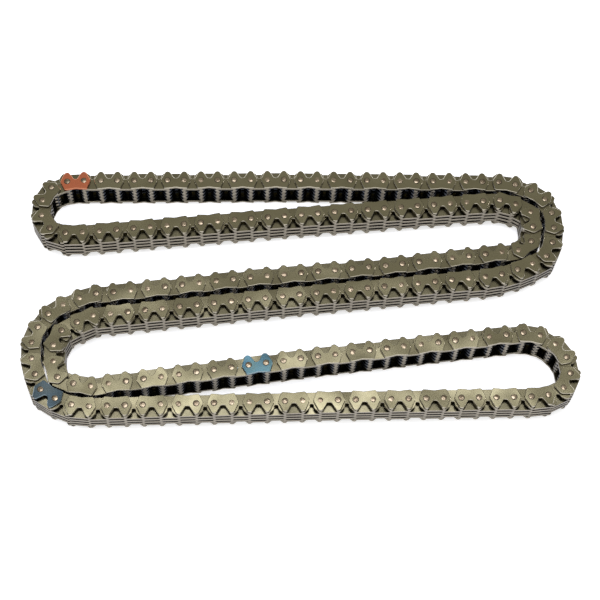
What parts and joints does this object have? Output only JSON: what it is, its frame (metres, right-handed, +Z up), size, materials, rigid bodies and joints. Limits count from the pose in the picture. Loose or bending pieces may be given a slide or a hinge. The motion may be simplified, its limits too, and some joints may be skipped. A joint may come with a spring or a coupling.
{
  "type": "timing chain",
  "caption": "Closed inverted-tooth timing chain of laminated steel plates on parallel pins, lying on its side in an S fold, with painted timing marks and an end loop that flexes.",
  "frame": {"origin": "centre of the bounding box in plan, at the faces of the lower guide plates that the chain lies on", "axes": "+X to the right along the strands, +Y away from the viewer, +Z up through the width of the chain, along its pins"},
  "size_m": [0.2084, 0.1122, 0.0127],
  "materials": {
    "oiled_guide_steel": "stamped steel under dark oil",
    "turned_plate_steel": "stamped steel under dark oil",
    "toothed_plate_steel": "stamped and tumbled steel, oiled",
    "orange_mark": "copper-orange timing mark",
    "light_blue_mark": "light blue timing mark",
    "dark_blue_mark": "dark blue timing mark"
  },
  "bodies": {
    "fixed_chain": {"run_1": "toothed_plate_steel", "bend_1": "toothed_plate_steel", "run_2": "toothed_plate_steel", "bend_2": "toothed_plate_steel", "run_3": "toothed_plate_steel", "run_4": "toothed_plate_steel", "bend_4": "toothed_plate_steel", "run_5": "toothed_plate_steel", "bend_5": "toothed_plate_steel", "run_6": "toothed_plate_steel", "bend_6": "toothed_plate_steel", "orange_mark_plate": "orange_mark", "light_blue_mark_plate": "light_blue_mark", "dark_blue_mark_plate": "dark_blue_mark"},
    "link_1": {"link_1_toothed_1": "toothed_plate_steel", "link_1_toothed_2": "toothed_plate_steel", "link_1_toothed_3": "toothed_plate_steel", "link_1_lower_turned": "turned_plate_steel", "link_1_upper_turned": "turned_plate_steel"},
    "link_2": {"link_2_lower_guide": "oiled_guide_steel", "link_2_upper_guide": "oiled_guide_steel", "link_2_pinned_plates": "toothed_plate_steel"},
    "link_3": {"link_3_toothed_1": "toothed_plate_steel", "link_3_toothed_2": "toothed_plate_steel", "link_3_toothed_3": "toothed_plate_steel", "link_3_lower_turned": "turned_plate_steel", "link_3_upper_turned": "turned_plate_steel"},
    "link_4": {"link_4_lower_guide": "oiled_guide_steel", "link_4_upper_guide": "oiled_guide_steel", "link_4_pinned_plates": "toothed_plate_steel"},
    "link_5": {"link_5_toothed_1": "toothed_plate_steel", "link_5_toothed_2": "toothed_plate_steel", "link_5_toothed_3": "toothed_plate_steel", "link_5_lower_turned": "turned_plate_steel", "link_5_upper_turned": "turned_plate_steel"},
    "link_6": {"link_6_lower_guide": "oiled_guide_steel", "link_6_upper_guide": "oiled_guide_steel", "link_6_pinned_plates": "toothed_plate_steel"},
    "link_7": {"link_7_toothed_1": "toothed_plate_steel", "link_7_toothed_2": "toothed_plate_steel", "link_7_toothed_3": "toothed_plate_steel", "link_7_lower_turned": "turned_plate_steel", "link_7_upper_turned": "turned_plate_steel"},
    "link_8": {"link_8_lower_guide": "oiled_guide_steel", "link_8_upper_guide": "oiled_guide_steel", "link_8_pinned_plates": "toothed_plate_steel"},
    "link_9": {"link_9_toothed_1": "toothed_plate_steel", "link_9_toothed_2": "toothed_plate_steel", "link_9_toothed_3": "toothed_plate_steel", "link_9_lower_turned": "turned_plate_steel", "link_9_upper_turned": "turned_plate_steel"}
  },
  "joints": [
    {"name": "pivot_1", "type": "hinge", "parent": "fixed_chain", "child": "link_1", "pos_m": [0.0764, -0.01216, 0.00635], "axis": [0, 0, 1], "range_deg": [-30, 30]},
    {"name": "pivot_2", "type": "hinge", "parent": "link_1", "child": "link_2", "pos_m": [0.08262, -0.01089, 0.00635], "axis": [0, 0, 1], "range_deg": [-10.7, 10.7]},
    {"name": "pivot_3", "type": "hinge", "parent": "link_2", "child": "link_3", "pos_m": [0.08894, -0.01145, 0.00635], "axis": [0, 0, 1], "range_deg": [-19.5, 19.5]},
    {"name": "pivot_4", "type": "hinge", "parent": "link_3", "child": "link_4", "pos_m": [0.09455, -0.01444, 0.00635], "axis": [0, 0, 1], "range_deg": [-3.8, 3.8]},
    {"name": "pivot_5", "type": "hinge", "parent": "link_4", "child": "link_5", "pos_m": [0.09853, -0.01938, 0.00635], "axis": [0, 0, 1], "range_deg": [-0.8, 0.8]},
    {"name": "pivot_10", "type": "hinge", "parent": "fixed_chain", "child": "link_9", "pos_m": [0.0794, -0.03647, 0.00635], "axis": [0, 0, 1], "range_deg": [-32, 32]},
    {"name": "pivot_9", "type": "hinge", "parent": "link_9", "child": "link_8", "pos_m": [0.08572, -0.03586, 0.00635], "axis": [0, 0, 1], "range_deg": [-11.6, 11.6]},
    {"name": "pivot_8", "type": "hinge", "parent": "link_8", "child": "link_7", "pos_m": [0.09195, -0.03465, 0.00635], "axis": [0, 0, 1], "range_deg": [-18.4, 18.4]},
    {"name": "pivot_7", "type": "hinge", "parent": "link_7", "child": "link_6", "pos_m": [0.09745, -0.03148, 0.00635], "axis": [0, 0, 1], "range_deg": [-4.2, 4.2]}
  ],
  "couplings": [
    {"joint": "pivot_2", "follows": "pivot_1", "ratio": -0.3286},
    {"joint": "pivot_3", "follows": "pivot_1", "ratio": -0.6001},
    {"joint": "pivot_4", "follows": "pivot_1", "ratio": -0.1154},
    {"joint": "pivot_5", "follows": "pivot_1", "ratio": -0.0218},
    {"joint": "pivot_10", "follows": "pivot_1", "ratio": 1},
    {"joint": "pivot_9", "follows": "pivot_1", "ratio": -0.3579},
    {"joint": "pivot_8", "follows": "pivot_1", "ratio": -0.5679},
    {"joint": "pivot_7", "follows": "pivot_1", "ratio": -0.1287}
  ]
}
